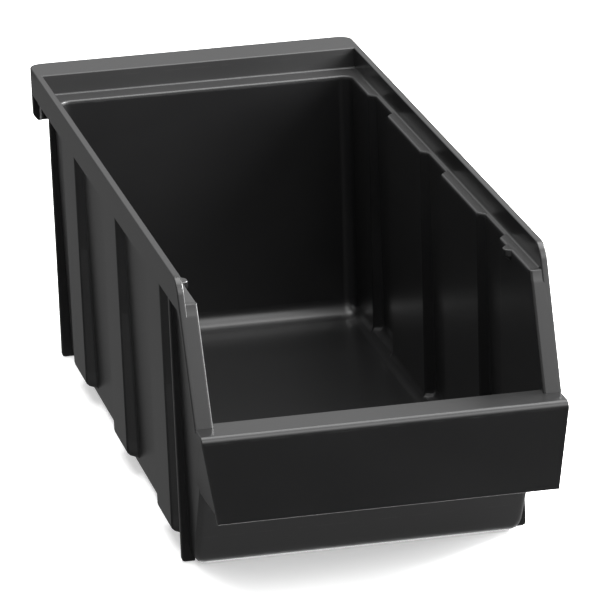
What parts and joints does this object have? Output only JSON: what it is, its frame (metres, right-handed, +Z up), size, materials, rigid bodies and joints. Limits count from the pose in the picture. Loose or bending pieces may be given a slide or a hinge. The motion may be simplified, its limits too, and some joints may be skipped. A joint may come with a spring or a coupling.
{
  "type": "stacking hopper-front storage bin",
  "caption": "Open-top stack-and-hang bin with corrugated side walls, a low leaning hopper front with a hanging label apron, stacking ledges inside the rim and a rear hang lip",
  "frame": {"origin": "centre of the overall box in plan, on the surface that the feet stand on", "axes": "+X to the bin's right seen from its open front, +Y to its rear rail, +Z up"},
  "size_m": [0.1396, 0.3748, 0.121],
  "materials": {
    "floor_panel": "black injection-moulded polypropylene, satin with a fine grain",
    "front_foot": "black injection-moulded polypropylene, satin with a fine grain",
    "front_lip": "black injection-moulded polypropylene, satin with a fine grain",
    "front_wall": "black injection-moulded polypropylene, satin with a fine grain",
    "hang_lip": "black injection-moulded polypropylene, satin with a fine grain",
    "label_apron": "black injection-moulded polypropylene, satin with a fine grain",
    "left_apron_cheek": "black injection-moulded polypropylene, satin with a fine grain",
    "left_foot": "black injection-moulded polypropylene, satin with a fine grain",
    "left_front_fin": "black injection-moulded polypropylene, satin with a fine grain",
    "left_front_post": "black injection-moulded polypropylene, satin with a fine grain",
    "left_ledge": "black injection-moulded polypropylene, satin with a fine grain",
    "left_rail_cheek": "black injection-moulded polypropylene, satin with a fine grain",
    "left_rear_fin": "black injection-moulded polypropylene, satin with a fine grain",
    "left_rim_rail": "black injection-moulded polypropylene, satin with a fine grain",
    "left_side_wall": "black injection-moulded polypropylene, satin with a fine grain",
    "left_stop_tab": "black injection-moulded polypropylene, satin with a fine grain",
    "rear_foot": "black injection-moulded polypropylene, satin with a fine grain",
    "rear_ledge": "black injection-moulded polypropylene, satin with a fine grain",
    "rear_rail_inner_wall": "black injection-moulded polypropylene, satin with a fine grain",
    "rear_rail_top": "black injection-moulded polypropylene, satin with a fine grain",
    "rear_wall": "black injection-moulded polypropylene, satin with a fine grain",
    "right_apron_cheek": "black injection-moulded polypropylene, satin with a fine grain",
    "right_foot": "black injection-moulded polypropylene, satin with a fine grain",
    "right_front_fin": "black injection-moulded polypropylene, satin with a fine grain",
    "right_front_post": "black injection-moulded polypropylene, satin with a fine grain",
    "right_ledge": "black injection-moulded polypropylene, satin with a fine grain",
    "right_rail_cheek": "black injection-moulded polypropylene, satin with a fine grain",
    "right_rear_fin": "black injection-moulded polypropylene, satin with a fine grain",
    "right_rim_rail": "black injection-moulded polypropylene, satin with a fine grain",
    "right_side_wall": "black injection-moulded polypropylene, satin with a fine grain",
    "right_stop_tab": "black injection-moulded polypropylene, satin with a fine grain"
  },
  "bodies": {
    "root": {"floor_panel": "floor_panel", "front_foot": "front_foot", "front_lip": "front_lip", "front_wall": "front_wall", "hang_lip": "hang_lip", "label_apron": "label_apron", "left_apron_cheek": "left_apron_cheek", "left_foot": "left_foot", "left_front_fin": "left_front_fin", "left_front_post": "left_front_post", "left_ledge": "left_ledge", "left_rail_cheek": "left_rail_cheek", "left_rear_fin": "left_rear_fin", "left_rim_rail": "left_rim_rail", "left_side_wall": "left_side_wall", "left_stop_tab": "left_stop_tab", "rear_foot": "rear_foot", "rear_ledge": "rear_ledge", "rear_rail_inner_wall": "rear_rail_inner_wall", "rear_rail_top": "rear_rail_top", "rear_wall": "rear_wall", "right_apron_cheek": "right_apron_cheek", "right_foot": "right_foot", "right_front_fin": "right_front_fin", "right_front_post": "right_front_post", "right_ledge": "right_ledge", "right_rail_cheek": "right_rail_cheek", "right_rear_fin": "right_rear_fin", "right_rim_rail": "right_rim_rail", "right_side_wall": "right_side_wall", "right_stop_tab": "right_stop_tab"}
  },
  "joints": []
}
